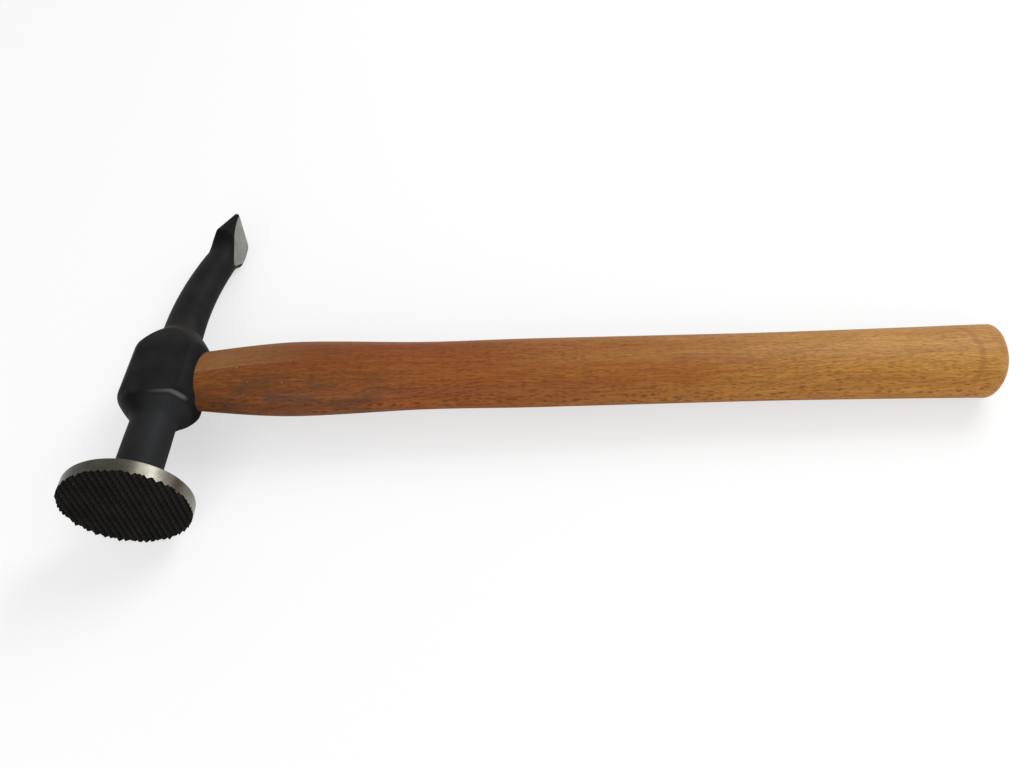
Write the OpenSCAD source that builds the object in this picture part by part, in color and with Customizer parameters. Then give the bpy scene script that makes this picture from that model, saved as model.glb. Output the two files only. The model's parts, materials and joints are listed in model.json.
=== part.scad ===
// Body hammer with a serrated round face and a curved cross chisel arm,
// lying on its side: handle along +X, chisel towards +Y, one cheek up.
// Every piece is drawn in the hammer's own frame, and lay() sets it down:
// x along the handle, y along the head from the face to the chisel,
// z out of the upper cheek, with the origin where the two axes cross.

/* [Striking face] */
// Diameter of the round face
face_d = 40; // [34:0.5:48]
// Height of the ground rim, from the back of the face to the tooth tips
rim_h = 5.2; // [4.4:0.1:7]
// Distance from the handle axis to the tooth tips
face_reach = 53.9; // [46:0.1:70]
// Distance between neighbouring grooves of the serration
tooth_pitch = 1.6; // [1.4:0.1:3]
// Flank angle of the teeth, measured from the face
tooth_angle = 48; // [30:1:52]
// Angle of the groove lines to the handle axis
tooth_turn = 45; // [0:1:90]
// Diameter of the round neck behind the face
neck_d = 15; // [11:0.5:18]
// Radius of the fillet between the face and the neck
neck_fillet = 4; // [2:0.5:6]

/* [Eye block] */
// Diameter of the barrel-shaped eye block
block_d = 27.6; // [25:0.2:34]
// Length of the full-diameter part of the block
block_l = 22; // [19:0.2:34]
// Length of the block's shoulder at the neck
neck_shoulder_l = 7.8; // [6:0.2:12]
// Length of the block's shoulder at the arm
arm_shoulder_l = 10.6; // [7:0.2:14]
// Turn of the shoulders' curve from end to end, in degrees
shoulder_turn = 12; // [4:1:50]
// Distance between the two flat cheeks
cheek_w = 20.6; // [18:0.2:24]
// Distance from the handle axis to the end of each cheek at the neck
cheek_end = 13; // [11:0.2:17]
// Angle of the ramps from the cheeks down to the neck
ramp_angle = 29; // [20:1:45]
// Length of the eye at the handle side, along the head
eye_l = 20; // [16:0.5:22]
// Width of the eye, across the cheeks
eye_w = 12; // [10:0.5:13]
// How much longer the eye is at its outer end, for the wedges
eye_flare = 1.6; // [0.8:0.2:3]

/* [Chisel arm] */
// Diameter of the round arm at the eye block
arm_d = 14.9; // [12:0.1:17]
// Diameter of the round arm before the chisel
arm_tip_d = 12.3; // [10:0.1:15]
// Distance from the handle axis to the start of the bend
bend_start = 26.4; // [24:0.2:44]
// Radius of the bend towards the handle
bend_r = 149; // [80:1:240]
// Angle of the bend
bend_angle = 15; // [4:0.5:24]
// Length from the end of the bend to the cutting edge
chisel_l = 24; // [20:0.2:32]
// Greatest width of the chisel
chisel_w = 20; // [15:0.2:24]
// Length of the cutting edge
edge_l = 17.6; // [14:0.2:22]
// Thickness of the blunt cutting edge
edge_t = 2; // [0.8:0.1:2.4]
// How far the edge stands off the arm's axis, towards the handle
edge_shift = -1; // [-1.5:0.1:1.5]
// Angle of the ground bevel on the handle side, to the arm's axis
bevel_angle = 15.5; // [10:0.5:20]

/* [Handle] */
// Distance from the head axis to the end of the butt
handle_reach = 308.8; // [240:0.2:380]
// Height of the handle where it meets the head
entry_h = 25; // [23:0.2:28]
// Thickness of the handle where it meets the head
entry_t = 14.4; // [13.4:0.2:18]
// Height of the swell behind the head
swell_h = 30.1; // [28:0.1:36]
// Distance from the head axis to the swell
swell_x = 48; // [40:1:60]
// Height of the waist
waist_h = 27.5; // [24:0.1:32]
// Distance from the head axis to the waist
waist_x = 96; // [85:1:120]
// Height of the grip
grip_h = 28.3; // [25:0.1:34]
// Height of the butt
butt_h = 31; // [28:0.1:38]
// Thickness of the handle as a share of its height
thickness_share = 0.68; // [0.6:0.01:0.8]
// Length of the domed end of the butt
butt_dome = 7.4; // [5:0.2:14]
// How far the domed end leans over towards the chisel side
butt_skew = 4.4; // [0:0.2:5]

/* [Wedges] */
// Thickness of the wooden wedge at its outer end
wedge_t = 3.2; // [2.4:0.1:4]
// Thickness of the wooden wedge at its inner end
wedge_tip_t = 0.8; // [0.4:0.1:1.2]
// Depth of the wooden wedge, from the outer side of the block
wedge_depth = 20; // [16:0.5:22]
// Width of the steel cross wedge
steel_w = 9.6; // [6:0.2:9.8]
// Thickness of the steel wedge at its outer end
steel_t = 2; // [1.2:0.1:2.4]
// Thickness of the steel wedge at its inner end
steel_tip_t = 0.5; // [0.3:0.1:0.8]
// Depth of the steel wedge, from the outer side of the block
steel_depth = 13; // [8:0.5:14]

/* [Hidden] */
$fn = 96;
block_r = block_d / 2;
neck_r = neck_d / 2;
tooth_h = tooth_pitch / 2 * tan(tooth_angle);
rim_chamfer = 0.3;
back_slope = 1.6;
straight_end = block_l / 2;
neck_side_end = straight_end + neck_shoulder_l;
arm_side_end = straight_end + arm_shoulder_l;
end_gap = 0.3;
eye_spare = 0.1;
root_y = straight_end + 2;
bend_len = bend_r * bend_angle * PI / 180;
arm_len = bend_start + bend_len + chisel_l;
bend_end = [bend_r * (1 - cos(bend_angle)), bend_start + bend_r * sin(bend_angle)];
edge_mid = bend_end + chisel_l * [sin(bend_angle), cos(bend_angle)]
    + edge_shift * [cos(bend_angle), -sin(bend_angle)];
flare_from = chisel_l * 0.06;
flare_to = chisel_l * 0.46;
arm_sides = 32;
bend_rings = 12;
chisel_rings = 22;
entry_x = block_r - 1;
grip_x = waist_x + 36;
butt_x = handle_reach - norm([butt_dome, butt_skew]);
flare_x = butt_x - 97;
handle_sides = 36;
handle_power = 2.2;

// Three points that the lying hammer rests on: the back edge of the face,
// the lower corner of the chisel and the underside of the butt.
rest_rim = [0, rim_h - face_reach - rim_chamfer, -face_d / 2];
rest_edge = [edge_mid[0], edge_mid[1], -edge_l / 2];
rest_butt = [butt_x, 0, -butt_h * thickness_share / 2];
rest_cross = cross(rest_butt - rest_rim, rest_edge - rest_rim);
rest_up = rest_cross / norm(rest_cross);
roll = atan2(rest_up[1], rest_up[2]);
pitch = -atan2(rest_up[0], norm([rest_up[1], rest_up[2]]));
rest_height = -(rest_rim * rest_up);
mid_x = (handle_reach - face_d / 2) / 2;
mid_y = (edge_mid[1] - face_reach) / 2 * cos(roll) + (face_d - edge_l) / 4 * sin(roll);

// Moves a piece from the hammer's own frame to where it lies
module lay() {
    translate([-mid_x, -mid_y, rest_height])
        rotate([roll, pitch, 0])
            children();
}

// Turns an outline of radius and place into a solid about the head axis
module turned(outline) {
    rotate([-90, 0, 0])
        rotate_extrude()
            polygon(outline);
}

// Extrudes an outline of y and z along the handle axis
module along_handle(outline, from, to) {
    translate([from, 0, 0])
        rotate([90, 0, 90])
            linear_extrude(height = to - from)
                polygon(outline);
}

// A smooth step from 0 to 1 while x goes from a to b
function smooth(x, a, b) =
    let (t = max(0, min(1, (x - a) / (b - a))))
    t * t * (3 - 2 * t);

// Centre of the circle through a and b that bulges outward and turns by the given angle
function arc_centre(a, b, turn) =
    let (
        chord = b - a,
        across = [chord[1], -chord[0]] / norm(chord)
    )
    (a + b) / 2 - across * norm(chord) / 2 / tan(turn / 2);

// Outline of the face and the neck, from the centre of the face
function neck_outline() =
    let (
        back = rim_h - face_reach,
        fillet_r = neck_r + neck_fillet
    )
    concat(
        [
            [0, -face_reach],
            [face_d / 2, -face_reach],
            [face_d / 2, back - rim_chamfer],
            [face_d / 2 - rim_chamfer, back]
        ],
        [for (i = [0 : 8])
            [
                fillet_r - neck_fillet * sin(i * 90 / 8),
                back + back_slope + neck_fillet * (1 - cos(i * 90 / 8))
            ]
        ],
        [
            [neck_r, -straight_end],
            [0, -straight_end]
        ]
    );

// A disc that cuts one shoulder's arc, from the barrel's end to where it meets a round of radius r
module shoulder_disc(r, end) {
    start = [block_r, straight_end];
    centre = arc_centre(start, [r, end], shoulder_turn);
    translate(centre)
        circle(r = norm(start - centre), $fn = 480);
}

// The barrel-shaped block with its two shoulders, about the head axis, its seam clear of the eye
module barrel() {
    rotate([-90, 0, 0])
        rotate([0, 0, 35])
            rotate_extrude()
                intersection() {
                    translate([0, -neck_side_end])
                        square([block_r, neck_side_end + arm_side_end]);
                    mirror([0, 1])
                        shoulder_disc(neck_r - 0.2, neck_side_end);
                    shoulder_disc(arm_d / 2 - 0.2, arm_side_end);
                }
}

// Outline of the two cheeks and their ramps at the neck, as y and z
ramp_y = cheek_end + 12;
ramp_z = cheek_w / 2 - 12 * tan(ramp_angle);
cheek_outline = [
    [-ramp_y, -ramp_z],
    [-cheek_end, -cheek_w / 2],
    [arm_side_end + 1, -cheek_w / 2],
    [arm_side_end + 1, cheek_w / 2],
    [-cheek_end, cheek_w / 2],
    [-ramp_y, ramp_z]
];

// The eye block without its eye
module block() {
    intersection() {
        barrel();
        along_handle(cheek_outline, -face_d, face_d);
    }
}

// A slab with one set of parallel V-shaped teeth that point to -y
module tooth_rows(turn) {
    rows = ceil(face_d / tooth_pitch / 2) + 1;
    teeth = [for (i = [-rows : rows])
        each [
            [i * tooth_pitch, -face_reach],
            [(i + 0.5) * tooth_pitch, tooth_h - face_reach]
        ]
    ];
    rotate([0, turn, 0])
        linear_extrude(height = 2 * face_d, center = true)
            polygon(concat(teeth, [[(rows + 0.5) * tooth_pitch, 0], [-rows * tooth_pitch, 0]]));
}

// The serrated face and its neck
module face() {
    intersection() {
        turned(neck_outline());
        tooth_rows(tooth_turn);
        tooth_rows(tooth_turn + 90);
    }
}

// A closed solid through rings of n points each
module loft(rings, n) {
    last = len(rings) - 1;
    sides = [for (i = [0 : last - 1], j = [0 : n - 1])
        let (
            a = i * n + j,
            b = i * n + (j + 1) % n
        )
        each [[a, b, b + n], [a, b + n, a + n]]
    ];
    first_cap = [[for (j = [n - 1 : -1 : 0]) j]];
    last_cap = [[for (j = [0 : n - 1]) last * n + j]];
    polyhedron([for (ring = rings) each ring], concat(sides, first_cap, last_cap), convexity = 4);
}

// Turn of the arm at a distance along its centre line
function arm_turn(s) = max(0, min(1, (s - bend_start) / bend_len)) * bend_angle;

// Centre of the arm at a distance along its centre line
function arm_centre(s) =
    s < bend_start ? [0, s]
    : s < bend_start + bend_len
        ? [bend_r * (1 - cos(arm_turn(s))), bend_start + bend_r * sin(arm_turn(s))]
        : bend_end + (s - bend_start - bend_len) * [sin(bend_angle), cos(bend_angle)];

// One point of a section that is rounder or squarer with its power
function section_point(a, half_u, half_z, power) =
    [
        sign(cos(a)) * half_u * pow(abs(cos(a)), 2 / power),
        sign(sin(a)) * half_z * pow(abs(sin(a)), 2 / power)
    ];

// Share of the chisel's full width, swelling in a curve to a corner
function flare(w) =
    let (t = max(0, min(1, (w - flare_from) / (flare_to - flare_from))))
    t * t * (1.6 - 0.6 * t);

// Section of the arm at a distance along its centre line: round, then flatter
// and wider towards the edge, with the flatter side away from the handle
function arm_section(s) =
    let (
        w = s - bend_start - bend_len,
        round_r = arm_d / 2 - (arm_d - arm_tip_d) / 2 * min(1, (s - root_y) / (arm_len - chisel_l - root_y)),
        t = max(0, w / chisel_l),
        spread = flare(w),
        narrow = max(0, w - flare_to) / (chisel_l - flare_to),
        half_z = round_r + (chisel_w / 2 - round_r) * spread - (chisel_w - edge_l) / 2 * narrow,
        outer = round_r * (1 - t) + edge_t / 2 * t,
        inner = round_r * (1 - pow(t, 2.2)) + edge_t / 2 * pow(t, 2.2),
        outer_power = 2 + 5 * spread,
        inner_power = 2 + 4 * pow(t, 3),
        c = arm_centre(s),
        dir = arm_turn(s)
    )
    [for (j = [0 : arm_sides - 1])
        let (
            a = j * 360 / arm_sides,
            near = cos(a) > 0,
            p = section_point(a, near ? inner : outer, half_z, near ? inner_power : outer_power),
            u = p[0] + edge_shift * t
        )
        [c[0] + u * cos(dir), c[1] - u * sin(dir), p[1]]
    ];

// The bent arm with its cross chisel, before the bevel is ground
module arm_body() {
    bend_steps = [for (i = [0 : bend_rings - 1]) root_y + (arm_len - chisel_l - root_y) * i / bend_rings];
    chisel_steps = [for (i = [0 : chisel_rings]) arm_len - chisel_l + chisel_l * i / chisel_rings];
    steps = concat(bend_steps, chisel_steps);
    loft([for (s = steps) arm_section(s)], arm_sides);
}

// The waste that the ground bevel on the handle side takes off
module bevel_waste() {
    translate([edge_mid[0], edge_mid[1], 0])
        rotate([0, 0, bevel_angle - bend_angle])
            translate([edge_t / 2, -chisel_l * 1.5, -chisel_w])
                cube([arm_d, chisel_l * 2, chisel_w * 2]);
}

// Outline of the eye at its outer end, as y and z, with round ends a hair longer than the eye
eye_outline = [for (side = [1, -1], i = [-9 : 9])
    [
        side * (eye_l + eye_flare + eye_spare - eye_w) / 2 + side * eye_w / 2 * cos(i * 10),
        side * eye_w / 2 * sin(i * 10)
    ]
];

// The eye, longer towards its outer end
module eye(from, to) {
    slope = eye_flare / 2 / block_d;
    half_from = eye_l / 2 + slope * (block_r - from);
    half_to = eye_l / 2 + slope * (block_r - to);
    intersection() {
        along_handle(eye_outline, from, to);
        linear_extrude(height = 2 * eye_w, center = true)
            polygon([
                [from - 1, -half_from - slope],
                [to + 1, slope - half_to],
                [to + 1, half_to - slope],
                [from - 1, half_from + slope]
            ]);
    }
}

// Half height of the handle at a distance from the head axis
function handle_half(x) =
    x < swell_x ? swell_h / 2 - (swell_h - entry_h) / 2 * pow((swell_x - x) / (swell_x - entry_x), 1.8)
    : x < grip_x ? swell_h / 2 - (swell_h - waist_h) / 2 * smooth(x, swell_x, waist_x)
        + (grip_h - waist_h) / 2 * smooth(x, waist_x, grip_x)
    : grip_h / 2 + (butt_h - grip_h) / 2 * pow(max(0, (x - flare_x) / (butt_x - flare_x)), 1.55);

// Half thickness of the handle at a distance from the head axis
function handle_thick(x) =
    thickness_share * handle_half(x)
        - (thickness_share * entry_h - entry_t) / 2 * (1 - smooth(x, entry_x, swell_x));

// A ring of the handle: half height, half thickness and place along it
function handle_ring(half, thick, x) =
    [for (j = [0 : handle_sides - 1])
        let (p = section_point(-j * 360 / handle_sides, half, thick, handle_power))
        [x, p[0], p[1]]
    ];

// A ring of the domed end, which leans towards the chisel side, at an angle from its root
function dome_ring(a) =
    let (half = butt_h / 2 * cos(a))
    [for (p = handle_ring(half, half * thickness_share, butt_x + butt_dome * sin(a)))
        p + [2 * butt_skew / butt_h * p[1], 0, 0]
    ];

// The handle's outer shape, closed by a cap at each end
module handle_body() {
    from = entry_x - 4;
    entry_steps = [for (i = [0 : 7]) from + (swell_x - from) * i / 8];
    waist_steps = [for (i = [0 : 11]) swell_x + (grip_x - swell_x) * i / 12];
    flare_end = butt_x - 1.5 * butt_skew - 1;
    flare_steps = [for (i = [0 : 8]) flare_x + (flare_end - flare_x) * i / 8];
    long_steps = concat(entry_steps, waist_steps, [grip_x], flare_steps);
    rings = concat(
        [for (x = long_steps) handle_ring(handle_half(x), handle_thick(x), x)],
        [for (i = [0 : 9]) dome_ring(i * 9.6)]
    );
    loft(rings, handle_sides);
}

// The space that the wooden wedge fills, all along the eye
module wedge_space() {
    outer = -block_r - 1;
    inner = wedge_depth - block_r;
    rise = (wedge_t - wedge_tip_t) / 2 / wedge_depth;
    rotate([90, 0, 0])
        linear_extrude(height = 2 * face_d, center = true)
            polygon([
                [outer, -wedge_t / 2 - rise],
                [inner, -wedge_tip_t / 2],
                [inner, wedge_tip_t / 2],
                [outer, wedge_t / 2 + rise]
            ]);
}

// The space that the steel wedge fills, across the wooden one
module steel_space() {
    outer = -block_r - 1;
    inner = steel_depth - block_r;
    rise = (steel_t - steel_tip_t) / 2 / steel_depth;
    linear_extrude(height = steel_w, center = true)
        polygon([
            [outer, -steel_t / 2 - rise],
            [inner, -steel_tip_t / 2],
            [inner, steel_tip_t / 2],
            [outer, steel_t / 2 + rise]
        ]);
}

// The space in the eye, ending just inside the block's outer side
module tenon_space() {
    intersection() {
        eye(-face_d, 0);
        rotate([90, 0, 0])
            cylinder(r = block_r - end_gap, h = 2 * face_d, center = true);
    }
    eye(0, block_r + 5);
}

module head() {
    color([0.16, 0.165, 0.17])
        lay()
            difference() {
                union() {
                    face();
                    block();
                    difference() {
                        arm_body();
                        bevel_waste();
                    }
                }
                eye(-face_d, face_d);
            }
}

module handle() {
    color([0.66, 0.43, 0.24])
        lay() {
            difference() {
                handle_body();
                barrel();
            }
            difference() {
                tenon_space();
                wedge_space();
                steel_space();
            }
        }
}

module wood_wedge() {
    color([0.78, 0.6, 0.38])
        lay()
            difference() {
                intersection() {
                    wedge_space();
                    tenon_space();
                }
                steel_space();
            }
}

module steel_wedge() {
    color([0.5, 0.5, 0.5])
        lay()
            intersection() {
                steel_space();
                tenon_space();
            }
}

head();
handle();
wood_wedge();
steel_wedge();
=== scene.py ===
"""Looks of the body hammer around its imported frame: head, serrated face, beech handle, wedges and stage.

The hammer lies on its side. Its own frame has x along the handle, y along the head towards the chisel and
z out of the upper cheek. Pieces are modelled in it, in metres, and then laid down where the CAD has them.
Places in a material, and places where the skin is softened, are in millimetres of that frame.
"""

import json
import math

import bpy
from bpy.props import FloatProperty, FloatVectorProperty, IntProperty, PointerProperty
from mathutils import Matrix, Vector


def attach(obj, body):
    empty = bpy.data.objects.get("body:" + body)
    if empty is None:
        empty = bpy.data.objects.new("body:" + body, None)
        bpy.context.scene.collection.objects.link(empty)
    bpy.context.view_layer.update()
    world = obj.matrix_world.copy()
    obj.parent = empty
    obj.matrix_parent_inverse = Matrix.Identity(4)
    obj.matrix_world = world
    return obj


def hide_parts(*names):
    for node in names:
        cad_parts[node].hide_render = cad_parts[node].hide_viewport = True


bl_info = {
    "name": "Body Hammer",
    "version": (1, 0, 0),
    "blender": (4, 5, 0),
    "location": "3D View > Sidebar > Hammer",
    "description": "Models and finishes a body hammer with a serrated face and a cross chisel",
    "category": "Object",
}

MM = 0.001
# Corners nearer than this are one
CLOSE = 0.004 * MM
# A corner this near to a cutting plane lies on it
ON_PLANE = 0.001 * MM
# How far the turned face stays inside the CAD's box
MARGIN = 0.01 * MM
WHITE = (1.0, 1.0, 1.0)
VECTOR = "NodeSocketVector"
COLOUR = "NodeSocketColor"
VALUE = "NodeSocketFloat"

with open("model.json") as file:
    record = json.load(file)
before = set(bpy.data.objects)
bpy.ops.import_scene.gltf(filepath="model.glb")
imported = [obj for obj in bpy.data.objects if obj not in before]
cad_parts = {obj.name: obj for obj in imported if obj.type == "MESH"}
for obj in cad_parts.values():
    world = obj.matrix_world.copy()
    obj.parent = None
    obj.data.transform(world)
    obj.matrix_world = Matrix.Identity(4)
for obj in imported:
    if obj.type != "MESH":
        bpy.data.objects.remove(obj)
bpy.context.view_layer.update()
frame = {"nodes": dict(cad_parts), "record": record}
MOUNTS = {mount["name"]: mount for mount in frame["record"]["mounts"]}


def own_frame():
    """Matrix from the hammer's own frame to where the hammer lies, taken from the mounts."""
    up = Vector(MOUNTS["upper_cheek"]["axis"])
    ahead = -Vector(MOUNTS["face_rim"]["axis"])
    upper = Vector(MOUNTS["upper_cheek"]["pos_m"])
    lower = Vector(MOUNTS["lower_cheek"]["pos_m"])
    turn = Matrix((ahead.cross(up), ahead, up)).transposed().to_4x4()
    return Matrix.Translation((upper + lower) / 2) @ turn


OWN = own_frame()
TO_OWN = OWN.inverted()


def own_box(node):
    """Lowest and highest corner of a CAD node in the hammer's own frame."""
    points = [TO_OWN @ v.co for v in frame["nodes"][node].data.vertices]
    low = Vector([min(p[i] for p in points) for i in range(3)])
    high = Vector([max(p[i] for p in points) for i in range(3)])
    return low, high


HEAD_LOW, HEAD_HIGH = own_box("head")
FACE_R = HEAD_HIGH.z - MARGIN
RIM = MOUNTS["face_rim"]
RIM_BACK = (TO_OWN @ Vector(RIM["pos_m"])).y + RIM["dims"]["length_mm"] / 2 * MM
CHEEK = (TO_OWN @ Vector(MOUNTS["upper_cheek"]["pos_m"])).z


def rise(value, low, high):
    """0 below low, 1 above high and an even rise between them."""
    return max(0.0, min(1.0, (value - low) / (high - low)))


# Sizes and colours that a user would change


class HammerSizes(bpy.types.PropertyGroup):
    """Sizes of the modelled detail"""

    tooth_pitch: FloatProperty(
        name="Tooth pitch",
        description="Distance between neighbouring grooves of the face",
        default=2.03 * MM,
        unit="LENGTH",
        subtype="DISTANCE",
    )
    tooth_angle: FloatProperty(
        name="Tooth angle",
        description="Angle of a tooth's flank to the face",
        default=math.radians(48),
        unit="ROTATION",
        subtype="ANGLE",
    )
    tooth_land: FloatProperty(
        name="Tooth land",
        description="Width of the worn flat on top of each tooth",
        default=0.12 * MM,
        unit="LENGTH",
        subtype="DISTANCE",
    )
    rim_chamfer: FloatProperty(
        name="Rim chamfer",
        description="Width of the broken edge at the back of the rim",
        default=0.3 * MM,
        unit="LENGTH",
        subtype="DISTANCE",
    )
    skin_voxel: FloatProperty(
        name="Forging detail",
        description="Size of the grid that the forging's skin is rebuilt on",
        default=0.39 * MM,
        unit="LENGTH",
        subtype="DISTANCE",
    )
    skin_rounds: IntProperty(
        name="Forging softness",
        description="How many times the forging's creases are smoothed",
        default=5,
    )
    bevel_depth: FloatProperty(
        name="Bevel grind",
        description="How far the bevel is ground into the softened skin, to leave crisp edges",
        default=0.1 * MM,
        unit="LENGTH",
        subtype="DISTANCE",
    )


class HammerColours(bpy.types.PropertyGroup):
    """Colours of the finishes"""

    forging: FloatVectorProperty(
        name="Forging",
        description="Scale-blackened skin of the forging",
        default=(0.0060, 0.0060, 0.0058),
        subtype="COLOR",
    )
    forging_worn: FloatVectorProperty(
        name="Worn forging",
        description="Paler places of the blackened skin",
        default=(0.0135, 0.0135, 0.0135),
        subtype="COLOR",
    )
    teeth: FloatVectorProperty(
        name="Teeth",
        description="Dark flanks of the teeth",
        default=(0.0062, 0.0056, 0.0044),
        subtype="COLOR",
    )
    ground_rim: FloatVectorProperty(
        name="Ground rim",
        description="Steel of the ground rim",
        default=(0.24, 0.232, 0.200),
        subtype="COLOR",
    )
    ground_bevel: FloatVectorProperty(
        name="Ground bevel",
        description="Bright steel of the ground bevel",
        default=(0.245, 0.245, 0.218),
        subtype="COLOR",
    )
    beech: FloatVectorProperty(
        name="Beech",
        description="Lacquered beech of the handle",
        default=(0.47, 0.247, 0.052),
        subtype="COLOR",
    )
    beech_red: FloatVectorProperty(
        name="Red beech",
        description="Redder streaks in the beech",
        default=(0.38, 0.150, 0.031),
        subtype="COLOR",
    )
    beech_dark: FloatVectorProperty(
        name="Beech flecks",
        description="Short dark flecks in the beech",
        default=(0.17, 0.068, 0.018),
        subtype="COLOR",
    )
    floor: FloatVectorProperty(
        name="Floor",
        description="Pale studio floor",
        default=(0.86, 0.86, 0.86),
        subtype="COLOR",
    )


# Node helpers


def rgba(colour):
    """A colour with full alpha."""
    return (*colour[:3], 1.0)


def add(tree, kind, settings=None, **inputs):
    """Adds a node, sets its settings, and sets or links its inputs by name, or by number as i0 or i1."""
    node = tree.nodes.new(kind)
    for key, value in (settings or {}).items():
        setattr(node, key, value)
    for key, value in inputs.items():
        numbered = key[0] == "i" and key[1:].isdigit()
        socket = node.inputs[int(key[1:]) if numbered else key.replace("_", " ")]
        if isinstance(value, bpy.types.NodeSocket):
            tree.links.new(value, socket)
        else:
            socket.default_value = value
    return node


def maths(tree, operation, a, b=0.0):
    """A Math node's value."""
    return add(tree, "ShaderNodeMath", {"operation": operation}, i0=a, i1=b).outputs[0]


def product(tree, *values):
    """The product of several values."""
    total = values[0]
    for value in values[1:]:
        total = maths(tree, "MULTIPLY", total, value)
    return total


def weighted(tree, first, second):
    """The sum of two values, each given with its weight."""
    return maths(tree, "ADD", product(tree, *first), product(tree, *second))


def ramp(tree, value, low, high, first=0.0, last=1.0):
    """Maps a value from low..high to first..last and holds it at both ends."""
    node = add(tree, "ShaderNodeMapRange", {"clamp": True}, Value=value)
    node.inputs["From Min"].default_value = low
    node.inputs["From Max"].default_value = high
    node.inputs["To Min"].default_value = first
    node.inputs["To Max"].default_value = last
    return node.outputs["Result"]


def where(tree, *ramps):
    """The product of several ramps, each given as its value and its limits."""
    return product(tree, *(ramp(tree, *limits) for limits in ramps))


def band(tree, value, middle, half, soft):
    """1 where a value is within half of the middle, falling to 0 over the soft width."""
    away = maths(tree, "ABSOLUTE", maths(tree, "SUBTRACT", value, middle))
    return ramp(tree, away, half, half + soft, 1.0, 0.0)


def blend_colour(tree, share, a, b, mode="MIX"):
    """Mixes two colours by a share."""
    node = add(tree, "ShaderNodeMix", {"data_type": "RGBA", "blend_type": mode})
    for socket, value in zip((node.inputs[0], node.inputs[6], node.inputs[7]), (share, a, b)):
        if isinstance(value, bpy.types.NodeSocket):
            tree.links.new(value, socket)
        elif isinstance(value, (int, float)):
            socket.default_value = value
        else:
            socket.default_value = rgba(value)
    return node.outputs[2]


def tinted(tree, colour, tint):
    """A colour times a tint."""
    return blend_colour(tree, 1.0, colour, tint, "MULTIPLY")


def layered(tree, colour, *layers):
    """A colour with others laid over it, each given as its mask, its share and its colour."""
    for mask, share, over in layers:
        colour = blend_colour(tree, product(tree, mask, share), colour, over)
    return colour


def noise(tree, vector, scale, detail=2.0, rough=0.5):
    """A noise pattern's value."""
    node = add(tree, "ShaderNodeTexNoise", None, Vector=vector, Scale=scale, Detail=detail, Roughness=rough)
    return node.outputs["Fac"]


def stretched(tree, vector, scale):
    """The vector, scaled along each axis."""
    return add(tree, "ShaderNodeMapping", None, Vector=vector, Scale=scale).outputs["Vector"]


def drawn_out(tree, vector, scale, detail, rough):
    """A noise pattern's value, drawn out by its scale along each axis."""
    return noise(tree, stretched(tree, vector, scale), 1.0, detail, rough)


def axes(tree, vector):
    """The x, y and z of a vector."""
    return add(tree, "ShaderNodeSeparateXYZ", None, Vector=vector).outputs


def new_group(name, ins, outs):
    """A shader node group with named sockets; returns the tree, its inputs and a function that ends it."""
    tree = bpy.data.node_groups.new(name, "ShaderNodeTree")
    for socket, kind, default in ins:
        made = tree.interface.new_socket(name=socket, in_out="INPUT", socket_type=kind)
        if default is not None:
            made.default_value = default
    for socket, kind in outs:
        tree.interface.new_socket(name=socket, in_out="OUTPUT", socket_type=kind)
    given = tree.nodes.new("NodeGroupInput").outputs

    def close(**values):
        end = tree.nodes.new("NodeGroupOutput")
        for key, value in values.items():
            tree.links.new(value, end.inputs[key])

    return tree, given, close


def use(tree, group, **inputs):
    """Adds a group node to a tree."""
    return add(tree, "ShaderNodeGroup", {"node_tree": bpy.data.node_groups[group]}, **inputs)


# Effects that the finishes share

FINISH_OUTPUTS = [("Color", COLOUR), ("Roughness", VALUE), ("Height", VALUE)]


def place_group():
    """Coordinates in the hammer's own frame, in millimetres."""
    tree, _, close = new_group("Hammer place", [], [("Vector", VECTOR)])
    turned = add(
        tree,
        "ShaderNodeMapping",
        {"vector_type": "TEXTURE"},
        Vector=tree.nodes.new("ShaderNodeTexCoord").outputs["Object"],
        Location=OWN.to_translation(),
        Rotation=OWN.to_euler(),
        Scale=(MM, MM, MM),
    )
    close(Vector=turned.outputs["Vector"])


def forged_group():
    """Blackened forging skin: cloudy colour, uneven gloss and a fine orange-peel."""
    ins = [
        ("Vector", VECTOR, None),
        ("Dark", COLOUR, (0.02, 0.02, 0.02, 1)),
        ("Pale", COLOUR, (0.04, 0.04, 0.04, 1)),
    ]
    tree, given, close = new_group("Forged skin", ins, FINISH_OUTPUTS)
    place = given["Vector"]
    clouds = noise(tree, place, 0.11, 3.0, 0.55)
    grain = noise(tree, place, 1.6, 3.0, 0.6)
    pits = noise(tree, place, 4.5, 1.0, 0.5)
    mottle = weighted(tree, (clouds, 0.7), (grain, 0.3))
    colour = blend_colour(tree, ramp(tree, mottle, 0.38, 0.66), given["Dark"], given["Pale"])
    rough = ramp(tree, grain, 0.3, 0.7, 0.50, 0.60)
    close(Color=colour, Roughness=rough, Height=weighted(tree, (grain, 0.75), (pits, 0.25)))


def ground_group():
    """Ground steel: fine lines along one direction, with a slow change of tone."""
    ins = [
        ("Lines", VECTOR, None),
        ("Place", VECTOR, None),
        ("Steel", COLOUR, (0.4, 0.4, 0.4, 1)),
    ]
    tree, given, close = new_group("Ground steel", ins, FINISH_OUTPUTS)
    fine = noise(tree, given["Lines"], 9.0, 3.0, 0.7)
    broad = noise(tree, given["Lines"], 2.2, 2.0, 0.5)
    stain = noise(tree, given["Place"], 0.16, 3.0, 0.55)
    lines = weighted(tree, (fine, 0.6), (broad, 0.4))
    tone = weighted(tree, (lines, 0.5), (stain, 0.5))
    darker = tinted(tree, given["Steel"], (0.62, 0.60, 0.55))
    colour = blend_colour(tree, ramp(tree, tone, 0.38, 0.60), darker, given["Steel"])
    close(Color=colour, Roughness=ramp(tree, lines, 0.35, 0.65, 0.24, 0.36), Height=lines)


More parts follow.
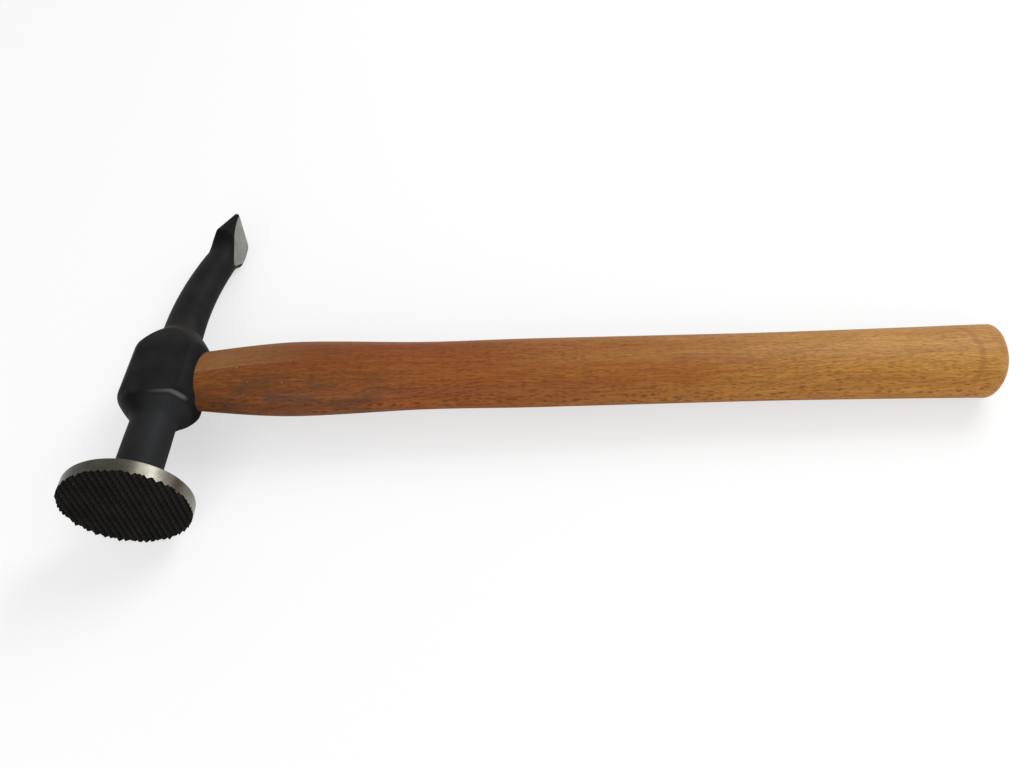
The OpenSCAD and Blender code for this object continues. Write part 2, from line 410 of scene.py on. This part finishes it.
def wood_group():
    """Wood along x: slow red streaks, fine fibres and two sizes of short dark flecks."""
    ins = [
        ("Vector", VECTOR, None),
        ("Light", COLOUR, (0.5, 0.3, 0.1, 1)),
        ("Red", COLOUR, (0.4, 0.2, 0.06, 1)),
        ("Dark", COLOUR, (0.2, 0.1, 0.04, 1)),
        ("Flecks", VALUE, 1.0),
    ]
    tree, given, close = new_group("Wood", ins, FINISH_OUTPUTS)
    slow = stretched(tree, given["Vector"], (0.02, 0.06, 0.06))
    wander = add(tree, "ShaderNodeTexNoise", None, Vector=slow, Scale=1.0).outputs["Color"]
    bend = add(tree, "ShaderNodeVectorMath", {"operation": "SCALE"}, i0=wander, Scale=5.0).outputs[0]
    place = add(tree, "ShaderNodeVectorMath", {"operation": "ADD"}, i0=given["Vector"], i1=bend).outputs[0]
    streaks = drawn_out(tree, place, (0.010, 0.15, 0.15), 3.0, 0.55)
    fibres = drawn_out(tree, place, (0.06, 1.6, 1.6), 4.0, 0.6)
    patches = drawn_out(tree, place, (0.03, 0.10, 0.10), 2.0, 0.5)
    grain = drawn_out(tree, place, (0.10, 1.3, 0.9), 3.0, 0.7)

    def flecks(scale, size, kept):
        """Thin dashes, one for some of the cells of a stretched pattern."""
        cell = stretched(tree, place, scale)
        cells = add(tree, "ShaderNodeTexVoronoi", None, Vector=cell, Scale=1.0).outputs
        chance = add(tree, "ShaderNodeSeparateColor", None, Color=cells["Color"]).outputs[0]
        return where(
            tree,
            (cells["Distance"], size * 0.55, size, 1.0, 0.0),
            (chance, kept, kept + 0.3),
            (patches, 0.30, 0.60, 0.75, 1.0),
        )

    short = flecks((0.26, 3.4, 0.50), size=0.42, kept=0.10)
    fine = flecks((0.42, 5.0, 0.70), size=0.44, kept=0.10)
    fleck = maths(tree, "MAXIMUM", short, product(tree, fine, 0.7))
    base = blend_colour(tree, ramp(tree, streaks, 0.36, 0.64, 0.0, 0.80), given["Light"], given["Red"])
    base = tinted(tree, base, ramp(tree, grain, 0.34, 0.66, 1.16, 0.82))
    base = blend_colour(tree, ramp(tree, fibres, 0.44, 0.72, 0.0, 0.40), base, given["Dark"])
    colour = blend_colour(tree, product(tree, fleck, given["Flecks"]), base, given["Dark"])
    height = weighted(tree, (fibres, 0.5), (fleck, -0.5))
    close(Color=colour, Roughness=ramp(tree, fibres, 0.3, 0.7, 0.44, 0.54), Height=height)


# Materials


def new_material(name):
    """Makes a material; returns its tree, its shader and the hammer's own coordinates in it."""
    material = bpy.data.materials.new(name)
    material.use_nodes = True
    tree = material.node_tree
    return tree, tree.nodes["Principled BSDF"], use(tree, "Hammer place").outputs["Vector"]


def finish(tree, shader, effect, strength, depth, colour=None, specular=None):
    """Feeds the shader an effect's roughness and height, and its colour unless another is given."""
    if colour is None:
        colour = effect["Color"]
    tree.links.new(colour, shader.inputs["Base Color"])
    tree.links.new(effect["Roughness"], shader.inputs["Roughness"])
    bump = add(tree, "ShaderNodeBump", None, Strength=strength, Distance=depth, Height=effect["Height"])
    tree.links.new(bump.outputs["Normal"], shader.inputs["Normal"])
    if specular is not None:
        shader.inputs["Specular IOR Level"].default_value = specular


def forging_material(colours):
    """Blackened skin: painted light on the neck's side, along a crease and at the arm's root; painted shade
    in the hollow by the crease and on the chisel.
    """
    tree, shader, place = new_material("blackened_forging")
    skin = use(tree, "Forged skin", Vector=place, Dark=rgba(colours.forging), Pale=rgba(colours.forging_worn))
    x, y, z = axes(tree, place)
    end = HEAD_HIGH.y / MM
    # Painted light: the neck is painted paler on its right side, as if lit from there.
    neck = where(tree, (y, -13.5, -14.8), (x, -5.0, 5.0))
    # Painted shade: the chisel end is painted nearly black.
    chisel = ramp(tree, y, end - 19.0, end - 16.0)
    # Painted shade: the hollow below the cheek's crease is painted nearly black.
    hollow = where(tree, (y, -13.3, -13.9), (y, -23.0, -18.5), (z, 3.0, 7.0), (x, -9.0, 1.0, 1.0, 0.0))
    # Painted highlight: a pale line along the crease at the cheek's lower edge, growing towards the handle.
    crease = band(tree, y, -13.2, 0.25, 0.55)
    crease_highlight = product(tree, crease, ramp(tree, x, -1.0, 9.0), ramp(tree, z, 4.5, 6.5))
    # Painted sheen: a paler band where the arm runs out of the eye block.
    root = product(tree, band(tree, y, 20.0, 2.0, 8.0), ramp(tree, z, 2.0, 5.0))
    colour = layered(
        tree,
        skin.outputs["Color"],
        (neck, 0.9, (0.0225, 0.0235, 0.0250)),
        (chisel, 0.75, (0.001, 0.001, 0.001)),
        (hollow, 0.95, (0.0008, 0.0008, 0.0008)),
        (crease_highlight, 0.9, (0.10, 0.10, 0.105)),
        (root, 0.6, (0.024, 0.0225, 0.0200)),
    )
    finish(tree, shader, skin.outputs, strength=0.2, depth=0.1 * MM, colour=colour, specular=0.05)


def tooth_material(colours, tips, pitch):
    """Dark flanks, painted shade that blackens the pits where the grooves cross, and worn pale tips."""
    tree, shader, place = new_material("serrated_steel")
    pale = (0.0120, 0.0110, 0.0090, 1)
    skin = use(tree, "Forged skin", Vector=place, Dark=rgba(colours.teeth), Pale=pale)
    x, depth, z = axes(tree, place)
    wear = noise(tree, place, 0.45, 2.0, 0.6)
    worn = where(tree, (depth, tips + 0.30, tips + 0.02), (wear, 0.40, 0.75))
    # Painted shade: the deepest places, where the grooves cross, are painted nearly black.
    across, along = (maths(tree, "PINGPONG", value, pitch / 2) for value in (x, z))
    pits = ramp(tree, maths(tree, "MINIMUM", across, along), 0.20 * pitch, 0.36 * pitch)
    colour = layered(
        tree,
        skin.outputs["Color"],
        (pits, 0.95, (0.0006, 0.0006, 0.0005)),
        (worn, 1.0, (0.045, 0.041, 0.034)),
    )
    finish(tree, shader, skin.outputs, strength=0.3, depth=0.1 * MM, colour=colour, specular=0.04)


def ground_material(name, colour, stretch, painted_shade_to=None):
    """Ground steel with stretched lines; given x limits, a painted shade that is darkest at the first, half
    dark at the second and gone at the third.
    """
    tree, shader, place = new_material(name)
    steel = use(tree, "Ground steel", Lines=stretched(tree, place, stretch), Place=place, Steel=rgba(colour))
    tone = steel.outputs["Color"]
    if painted_shade_to:
        # Painted shade: the steel is painted darker towards low x and left unshaded past the last limit.
        x = axes(tree, place)["X"]
        darkest, half_dark, bright = painted_shade_to
        shade = blend_colour(tree, ramp(tree, x, darkest, half_dark), (0.17, 0.17, 0.16), (0.38, 0.38, 0.37))
        tone = tinted(tree, tone, blend_colour(tree, ramp(tree, x, half_dark, bright), shade, WHITE))
    finish(tree, shader, steel.outputs, strength=0.15, depth=0.05 * MM, colour=tone)
    shader.inputs["Metallic"].default_value = 1.0


def beech_material(colours):
    """Lacquered beech: darker towards the head, with a planed flat, hand marks, a ring at the butt and
    painted shade on the upper edge near the butt.
    """
    tree, shader, place = new_material("lacquered_beech")
    wood = use(
        tree,
        "Wood",
        Vector=place,
        Light=rgba(colours.beech),
        Red=rgba(colours.beech_red),
        Dark=rgba(colours.beech_dark),
        Flecks=0.85,
    )
    x, y, z = axes(tree, place)
    cloud = drawn_out(tree, place, (0.05, 0.2, 0.2), 3.0, 0.6)
    wave = product(tree, maths(tree, "SUBTRACT", cloud, 0.5), 1.5)
    on_top = ramp(tree, z, 2.0, 5.0)

    near_head = blend_colour(tree, ramp(tree, x, 110.0, 290.0), (0.54, 0.33, 0.34), WHITE)
    root = blend_colour(tree, ramp(tree, x, 40.0, 85.0), (0.80, 0.86, 0.88), WHITE)
    butt = blend_colour(tree, ramp(tree, x, 270.0, 296.0), WHITE, (0.94, 0.94, 0.94))
    # Painted shade: the upper edge near the butt is painted darker.
    upper_edge_shade = where(tree, (x, 220.0, 275.0), (y, 4.0, 12.0))
    colour = tinted(tree, tinted(tree, wood.outputs["Color"], near_head), root)
    colour = layered(tree, colour, (upper_edge_shade, 0.50, (0.26, 0.115, 0.028)))
    colour = tinted(tree, colour, butt)

    hand_marks = where(
        tree,
        (x, 10.0, 24.0),
        (x, 70.0, 96.0, 1.0, 0.0),
        (y, -9.5, -4.0, 1.0, 0.0),
        (cloud, 0.42, 0.60, 0.1, 1.0),
    )

    # The planed flat begins at a line that leans across the handle and wavers
    line = maths(tree, "ADD", maths(tree, "SUBTRACT", y, product(tree, x, 0.028)), 2.1)
    past_line = maths(tree, "ADD", line, wave)
    flat = where(tree, (x, 22.0, 56.0, 1.0, 0.0), (z, 2.0, 4.0))
    planed = product(tree, flat, ramp(tree, past_line, 0.0, 0.5))
    plane_edge = product(tree, flat, band(tree, past_line, 0.0, 0.1, 0.3))

    specks = ramp(tree, noise(tree, place, 0.8, 1.0, 0.5), 0.72, 0.77)
    scuffs = product(tree, band(tree, x, 36.0, 10.0, 8.0), band(tree, y, -3.0, 6.0, 4.0), specks)

    # The ring bows towards the butt at its middle
    from_middle = maths(tree, "ADD", y, 1.0)
    bowed = maths(tree, "ADD", x, product(tree, from_middle, from_middle, 0.027))
    ring = product(tree, band(tree, maths(tree, "ADD", bowed, wave), 293.2, 0.5, 1.1), on_top)
    worn_end = where(tree, (x, 294.0, 297.5), (cloud, 0.40, 0.60))
    colour = layered(
        tree,
        colour,
        (hand_marks, 0.55, (0.055, 0.030, 0.018)),
        (planed, 0.12, (0.50, 0.32, 0.13)),
        (plane_edge, 0.15, (0.52, 0.36, 0.18)),
        (scuffs, 0.28, (0.55, 0.38, 0.22)),
        (ring, 0.45, (0.25, 0.09, 0.025)),
        (worn_end, 0.12, (0.58, 0.34, 0.12)),
    )
    finish(tree, shader, wood.outputs, strength=0.12, depth=0.1 * MM, colour=colour, specular=0.10)


def wedge_wood_material():
    """Bare hardwood of the wedge, seen on its end grain."""
    tree, shader, place = new_material("wedge_wood")
    wood = use(
        tree,
        "Wood",
        Vector=place,
        Light=(0.48, 0.30, 0.15, 1),
        Red=(0.40, 0.22, 0.10, 1),
        Dark=(0.26, 0.14, 0.06, 1),
        Flecks=0.3,
    )
    finish(tree, shader, wood.outputs, strength=0.3, depth=0.15 * MM)


def make_materials(context):
    """Builds the groups and the finishes, once."""
    if "blackened_forging" in bpy.data.materials:
        return
    colours = context.scene.hammer_colours
    place_group()
    forged_group()
    ground_group()
    wood_group()
    forging_material(colours)
    tooth_material(colours, HEAD_LOW.y / MM, context.scene.hammer_sizes.tooth_pitch / MM)
    # The rim gets a painted shade, darkest towards low x.
    ground_material("ground_rim", colours.ground_rim, (0.06, 2.4, 0.06), painted_shade_to=(-16.0, 11.0, 15.0))
    ground_material("ground_bevel", colours.ground_bevel, (1.2, 1.6, 0.05))
    ground_material("wedge_steel", colours.ground_bevel, (0.3, 0.3, 0.3))
    beech_material(colours)
    wedge_wood_material()


# Mesh helpers


def clear_selection():
    """Leaves edit mode and deselects everything."""
    if bpy.context.object and bpy.context.object.mode != "OBJECT":
        bpy.ops.object.mode_set(mode="OBJECT")
    bpy.ops.object.select_all(action="DESELECT")


def pick(piece):
    """Makes a piece the only selected and active one."""
    clear_selection()
    piece.select_set(True)
    bpy.context.view_layer.objects.active = piece


def copy_of(node, name):
    """A merged copy of a CAD node's mesh, in the hammer's own frame."""
    piece = bpy.data.objects.new(name, frame["nodes"][node].data.copy())
    bpy.context.scene.collection.objects.link(piece)
    piece.data.transform(TO_OWN)
    piece.data.materials.clear()
    pick(piece)
    bpy.ops.object.mode_set(mode="EDIT")
    bpy.ops.mesh.select_all(action="SELECT")
    bpy.ops.mesh.remove_doubles(threshold=CLOSE)
    bpy.ops.object.mode_set(mode="OBJECT")
    if piece.data.has_custom_normals:
        bpy.ops.mesh.customdata_custom_splitnormals_clear()
    return piece


def cut(piece, at, normal, past=None):
    """Cuts a piece with a plane, or only its faces past a y, drops the side ahead and closes the cut."""
    pick(piece)
    bpy.ops.object.mode_set(mode="EDIT")
    if past is None:
        bpy.ops.mesh.select_all(action="SELECT")
    else:
        bpy.ops.mesh.select_all(action="DESELECT")
        bpy.ops.object.mode_set(mode="OBJECT")
        for face in piece.data.polygons:
            face.select = face.center.y > past
        bpy.ops.object.mode_set(mode="EDIT")
    bpy.ops.mesh.bisect(plane_co=at, plane_no=normal, use_fill=True, clear_outer=True, threshold=ON_PLANE)
    bpy.ops.object.mode_set(mode="OBJECT")


def boolean(piece, other, operation):
    """Applies an exact boolean and removes the other piece."""
    pick(piece)
    modifier = piece.modifiers.new("Cut", "BOOLEAN")
    modifier.operation = operation
    modifier.solver = "EXACT"
    modifier.object = other
    bpy.ops.object.modifier_apply(modifier=modifier.name)
    bpy.data.objects.remove(other)


def shade_smooth(piece, crisp):
    """Shades a piece smooth, apart from edges that turn by more than crisp degrees."""
    pick(piece)
    bpy.ops.object.shade_smooth_by_angle(angle=math.radians(crisp))


def give(piece, *names):
    """Gives a piece its material slots."""
    piece.data.materials.clear()
    for name in names:
        piece.data.materials.append(bpy.data.materials[name])


def lay_down(piece, name, slot, *nodes):
    """Puts a modelled piece where the hammer lies and ties it to the frame."""
    piece.name = name
    piece.data.name = name
    piece.data.transform(OWN)
    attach(piece, "root")
    if nodes:
        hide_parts(*nodes)


# Operators


class HAMMER_OT_forging(bpy.types.Operator):
    """Rebuild the forging's skin with soft creases, and grind its bevel"""

    bl_idname = "hammer.forging"
    bl_label = "Forging"

    def soft_places(self):
        """Rounds of smoothing in the order they are done, each with the share that a place has in them."""
        cheek = CHEEK / MM
        end = HEAD_HIGH.y / MM

        def neck_shoulder(x, y, z):
            """Where the eye block runs down to the neck, less its crease and the handle's entry."""
            crease = rise(abs(z), 0.7 * cheek, 0.9 * cheek) * (1 - rise(abs(y + 13), 0.8, 2.6))
            entry = rise(x, 7, 10) * rise(y, -15, -13)
            return rise(y, -28, -22) * (1 - rise(y, -13, -11)) * (1 - 0.9 * crease) * (1 - entry)

        def neck_top(x, y, z):
            """The upper and lower side of the neck beside the eye block."""
            return rise(abs(z), 3, 5) * rise(y, -26, -22) * (1 - rise(y, -16, -14.4))

        def arm_shoulder(x, y, z):
            """Where the eye block runs out into the arm, less the flats of the cheeks."""
            on_cheek = rise(abs(z), 0.88 * cheek, 0.96 * cheek)
            return rise(y, 16, 19) * (1 - rise(y, 25, 30)) * (1 - on_cheek)

        def cheek_sides(x, y, z):
            """The edges along both sides of each cheek."""
            side = 1 - rise(abs(abs(x) - 9.2), 1.5, 4.0)
            return side * rise(abs(z), 0.7 * cheek, 0.9 * cheek) * rise(y, -13, -10) * (1 - rise(y, 12, 16))

        def everywhere(x, y, z):
            """The whole skin, with little of it at the chisel."""
            return 1.0 - 0.9 * rise(y, end - 18, end - 14)

        return (14, neck_shoulder), (26, neck_top), (7, arm_shoulder), (6, cheek_sides), (1, everywhere)

    def soften(self, piece, rounds, share, levels=20):
        """Smooths the skin, each place by its share, which is rounded to a number of levels."""
        members = {}
        for vertex in piece.data.vertices:
            level = round(levels * max(0.0, min(1.0, share(*(vertex.co / MM)))))
            members.setdefault(level, []).append(vertex.index)
        group = piece.vertex_groups.new(name="soft")
        for level, indices in members.items():
            group.add(indices, level / levels, "REPLACE")
        modifier = piece.modifiers.new("Soften", "SMOOTH")
        modifier.factor = 0.5
        modifier.iterations = rounds
        modifier.vertex_group = "soft"
        pick(piece)
        bpy.ops.object.modifier_apply(modifier=modifier.name)
        piece.vertex_groups.clear()

    def bevel_plane(self, piece):
        """A point and the normal of the ground bevel, from the flat faces on the chisel's handle side."""
        chisel = 0.65 * HEAD_HIGH.y
        to_handle = 0.995
        flats = [f for f in piece.data.polygons if f.center.y > chisel and f.normal.x > to_handle]
        area = sum(f.area for f in flats)
        normal = sum((f.normal * f.area for f in flats), Vector()).normalized()
        return sum((f.center * f.area for f in flats), Vector()) / area, normal

    def execute(self, context):
        sizes = context.scene.hammer_sizes
        make_materials(context)
        piece = copy_of("head", "forging")
        at, normal = self.bevel_plane(piece)
        cut(piece, (0, RIM_BACK, 0), (0, -1, 0))
        piece.data.remesh_voxel_size = sizes.skin_voxel
        bpy.ops.object.voxel_remesh()
        for times, share in self.soft_places():
            self.soften(piece, sizes.skin_rounds * times, share)

        outer_half = 0.5 * HEAD_HIGH.y
        same_way = 0.999
        cut(piece, at - normal * sizes.bevel_depth, normal, past=outer_half)
        give(piece, "blackened_forging", "ground_bevel")
        for face in piece.data.polygons:
            ground = face.center.y > outer_half and face.normal.dot(normal) > same_way
            on_plane = abs((face.center - at).dot(normal) + sizes.bevel_depth) < CLOSE
            face.material_index = 1 if ground and on_plane else 0
        shade_smooth(piece, crisp=40)
        lay_down(piece, "forging", "forged_steel", "head")
        return {"FINISHED"}


class HAMMER_OT_striking_face(bpy.types.Operator):
    """Turn the rim of the striking face and mill its teeth"""

    bl_idname = "hammer.striking_face"
    bl_label = "Striking face"

    def tooth_plate(self, sizes, turn):
        """A plate with one set of V-shaped teeth, their tips at the front of the face."""
        depth = 12 * MM
        half_length = 3 * FACE_R / 2
        half_land = sizes.tooth_land / 2
        height = (sizes.tooth_pitch - sizes.tooth_land) / 2 * math.tan(sizes.tooth_angle)
        corners = ((-half_land, 0.0), (half_land, 0.0), (sizes.tooth_pitch / 2, height))
        each_way = math.ceil(FACE_R / sizes.tooth_pitch) + 2
        strips = 2 * each_way * len(corners)
        bpy.ops.mesh.primitive_grid_add(x_subdivisions=strips, y_subdivisions=1, size=1)
        plate = bpy.context.object
        columns = sorted({round(v.co.x, 5) for v in plate.data.vertices})
        order = {x: i for i, x in enumerate(columns)}
        middle = len(columns) // 2
        for vertex in plate.data.vertices:
            tooth, corner = divmod(order[round(vertex.co.x, 5)] - middle, len(corners))
            aside, drop = corners[corner]
            end = half_length if vertex.co.y > 0 else -half_length
            vertex.co = (tooth * sizes.tooth_pitch + aside, HEAD_LOW.y + drop, end)
        pick(plate)
        bpy.ops.object.mode_set(mode="EDIT")
        bpy.ops.mesh.select_all(action="SELECT")
        bpy.ops.mesh.extrude_region_move(TRANSFORM_OT_translate={"value": (0, depth, 0)})
        bpy.ops.mesh.select_all(action="SELECT")
        bpy.ops.mesh.normals_make_consistent(inside=False)
        bpy.ops.object.mode_set(mode="OBJECT")
        plate.data.transform(Matrix.Rotation(turn, 4, "Y"))
        return plate

    def rim_blank(self, sizes):
        """A round blank from the teeth's tips to the forging, with its edge broken at the back."""
        depth = RIM_BACK - HEAD_LOW.y + sizes.rim_chamfer
        back = HEAD_LOW.y + depth
        near = 0.01 * MM
        clear_selection()
        bpy.ops.mesh.primitive_cylinder_add(
            vertices=240,
            radius=FACE_R,
            depth=depth,
            location=(0, HEAD_LOW.y + depth / 2, 0),
            rotation=(math.pi / 2, 0, 0),
        )
        blank = bpy.context.object
        bpy.ops.object.transform_apply(location=True, rotation=True, scale=True)
        bpy.ops.object.mode_set(mode="EDIT")
        bpy.ops.mesh.select_all(action="DESELECT")
        bpy.ops.mesh.select_mode(type="EDGE")
        bpy.ops.object.mode_set(mode="OBJECT")
        for edge in blank.data.edges:
            ends = [blank.data.vertices[i].co for i in edge.vertices]
            edge.select = all(abs(p.y - back) < near for p in ends)
        bpy.ops.object.mode_set(mode="EDIT")
        bpy.ops.mesh.bevel(offset=sizes.rim_chamfer, segments=2, affect="EDGES")
        bpy.ops.object.mode_set(mode="OBJECT")
        return blank

    def execute(self, context):
        sizes = context.scene.hammer_sizes
        make_materials(context)
        piece = self.rim_blank(sizes)
        for turn in (0.0, math.radians(90)):
            boolean(piece, self.tooth_plate(sizes, turn), "INTERSECT")

        rim = FACE_R - 0.25 * MM
        sideways = 0.5
        below_teeth = HEAD_LOW.y + 2.2 * MM
        give(piece, "ground_rim", "serrated_steel")
        for face in piece.data.polygons:
            on_rim = math.hypot(face.center.x, face.center.z) > rim and abs(face.normal.y) < sideways
            face.material_index = 0 if on_rim or face.center.y > below_teeth else 1
        shade_smooth(piece, crisp=20)
        lay_down(piece, "striking_face", "forged_steel")
        return {"FINISHED"}


class HAMMER_OT_handle(bpy.types.Operator):
    """Finish the beech handle with its tenon"""

    bl_idname = "hammer.handle"
    bl_label = "Handle"

    def execute(self, context):
        make_materials(context)
        piece = copy_of("handle", "beech_handle")
        give(piece, "lacquered_beech")
        shade_smooth(piece, crisp=32)
        lay_down(piece, "beech_handle", "beech", "handle")
        return {"FINISHED"}


class HAMMER_OT_wedges(bpy.types.Operator):
    """Give the two wedges in the eye their finishes"""

    bl_idname = "hammer.wedges"
    bl_label = "Wedges"

    def execute(self, context):
        make_materials(context)
        give(frame["nodes"]["wood_wedge"], "wedge_wood")
        give(frame["nodes"]["steel_wedge"], "wedge_steel")
        return {"FINISHED"}


class HAMMER_OT_stage(bpy.types.Operator):
    """Set the pale floor, the soft lamps and the camera"""

    bl_idname = "hammer.stage"
    bl_label = "Stage"

    def lay_floor(self, colour):
        """A pale floor that takes shadows, part of it plain white to the camera."""
        white_share = 0.6
        clear_selection()
        bpy.ops.mesh.primitive_grid_add(x_subdivisions=4, y_subdivisions=4, size=6, location=(0, 0, 0))
        floor = bpy.context.object
        floor.name = "floor"
        material = bpy.data.materials.new("studio_floor")
        material.use_nodes = True
        tree = material.node_tree
        shader = tree.nodes["Principled BSDF"]
        shader.inputs["Base Color"].default_value = rgba(colour)
        shader.inputs["Roughness"].default_value = 0.9
        shader.inputs["Specular IOR Level"].default_value = 0.1
        seen = tree.nodes.new("ShaderNodeLightPath").outputs["Is Camera Ray"]
        white = add(tree, "ShaderNodeEmission", None, Color=rgba(WHITE), Strength=1.0)
        share = product(tree, seen, white_share)
        both = add(tree, "ShaderNodeMixShader", None, i0=share, i1=shader.outputs[0], i2=white.outputs[0])
        tree.links.new(both.outputs[0], tree.nodes["Material Output"].inputs["Surface"])
        floor.data.materials.append(material)

    def light_world(self, scene):
        """A soft world, which is plain white to the camera and in gloss."""
        world = bpy.data.worlds.new("studio")
        world.use_nodes = True
        tree = world.node_tree
        soft = tree.nodes["Background"]
        soft.inputs["Color"].default_value = rgba(WHITE)
        soft.inputs["Strength"].default_value = 0.55
        path = tree.nodes.new("ShaderNodeLightPath").outputs
        seen = maths(tree, "MAXIMUM", path["Is Camera Ray"], path["Is Glossy Ray"])
        seen = maths(tree, "MAXIMUM", seen, path["Is Transmission Ray"])
        white = add(tree, "ShaderNodeBackground", None, Color=rgba(WHITE), Strength=1.0)
        both = add(tree, "ShaderNodeMixShader", None, i0=seen, i1=soft.outputs[0], i2=white.outputs[0])
        tree.links.new(both.outputs[0], tree.nodes["World Output"].inputs["Surface"])
        scene.world = world

    def hang_lamp(self, scene, name, place, power):
        """A soft square lamp that faces the origin."""
        lamp = bpy.data.lights.new(name, "AREA")
        lamp.size = 0.6
        lamp.energy = power
        holder = bpy.data.objects.new(name, lamp)
        scene.collection.objects.link(holder)
        holder.location = place
        holder.rotation_euler = (-Vector(place)).to_track_quat("-Z", "Y").to_euler()

    def place_camera(self, scene):
        """The camera at the photograph's angle: its axes and its place in the hammer's own frame."""
        right = Vector((0.998747, -0.048252, 0.013265))
        above = Vector((0.026905, 0.741284, 0.670652))
        behind = Vector((-0.042193, -0.669455, 0.741653))
        eye = Vector((111.335, -193.352, 208.124)) * MM
        lens = bpy.data.cameras.new("photo_camera")
        lens.sensor_width = 36
        lens.lens = 27.42
        lens.clip_start = 0.01
        camera = bpy.data.objects.new("photo_camera", lens)
        scene.collection.objects.link(camera)
        turn = Matrix((right, above, behind)).transposed().to_4x4()
        camera.matrix_world = OWN @ Matrix.Translation(eye) @ turn
        scene.camera = camera

    def execute(self, context):
        scene = context.scene
        self.lay_floor(scene.hammer_colours.floor)
        self.light_world(scene)
        self.hang_lamp(scene, "key", (0.60, 0.60, 0.75), 9.0)
        self.hang_lamp(scene, "fill", (-0.2, -0.9, 0.5), 5.0)
        self.place_camera(scene)
        scene.view_settings.view_transform = "Standard"
        return {"FINISHED"}


class HAMMER_PT_panel(bpy.types.Panel):
    """Lists the hammer's pieces and sizes"""

    bl_label = "Body Hammer"
    bl_space_type = "VIEW_3D"
    bl_region_type = "UI"
    bl_category = "Hammer"

    def draw(self, context):
        layout = self.layout
        for operator in STEPS:
            layout.operator(operator.bl_idname)
        for group in (context.scene.hammer_sizes, context.scene.hammer_colours):
            box = layout.box()
            for key in group.__annotations__:
                box.prop(group, key)


STEPS = (HAMMER_OT_forging, HAMMER_OT_striking_face, HAMMER_OT_handle, HAMMER_OT_wedges, HAMMER_OT_stage)
CLASSES = (HammerSizes, HammerColours, *STEPS, HAMMER_PT_panel)


def register():
    for item in CLASSES:
        bpy.utils.register_class(item)
    bpy.types.Scene.hammer_sizes = PointerProperty(type=HammerSizes)
    bpy.types.Scene.hammer_colours = PointerProperty(type=HammerColours)


def unregister():
    del bpy.types.Scene.hammer_colours
    del bpy.types.Scene.hammer_sizes
    for item in reversed(CLASSES):
        bpy.utils.unregister_class(item)


def main():
    """Runs every step in order."""
    register()
    bpy.ops.hammer.forging()
    bpy.ops.hammer.striking_face()
    bpy.ops.hammer.handle()
    bpy.ops.hammer.wedges()
    bpy.ops.hammer.stage()


if __name__ == "__main__":
    main()
